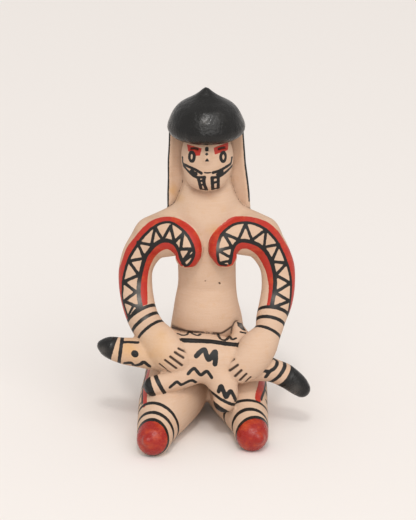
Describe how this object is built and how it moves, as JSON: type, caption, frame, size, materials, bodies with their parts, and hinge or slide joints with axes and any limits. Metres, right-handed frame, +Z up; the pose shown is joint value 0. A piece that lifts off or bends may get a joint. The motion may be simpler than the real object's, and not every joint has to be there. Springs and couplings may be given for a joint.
{
  "type": "ceramic doll",
  "caption": "Seated painted clay doll with a black cap of hair and thick curved arms, holding a long animal across its lap.",
  "frame": {"origin": "on the floor under the middle of the doll's plan", "axes": "+Z up to the point of the cap, the face looks along -Y, +X is the viewer's right and lies along the animal"},
  "size_m": [0.103, 0.086, 0.1651],
  "materials": {
    "painted_clay": "matt fired clay, painted black and red"
  },
  "bodies": {
    "root": {"ceramic_doll": "painted_clay"}
  },
  "joints": []
}
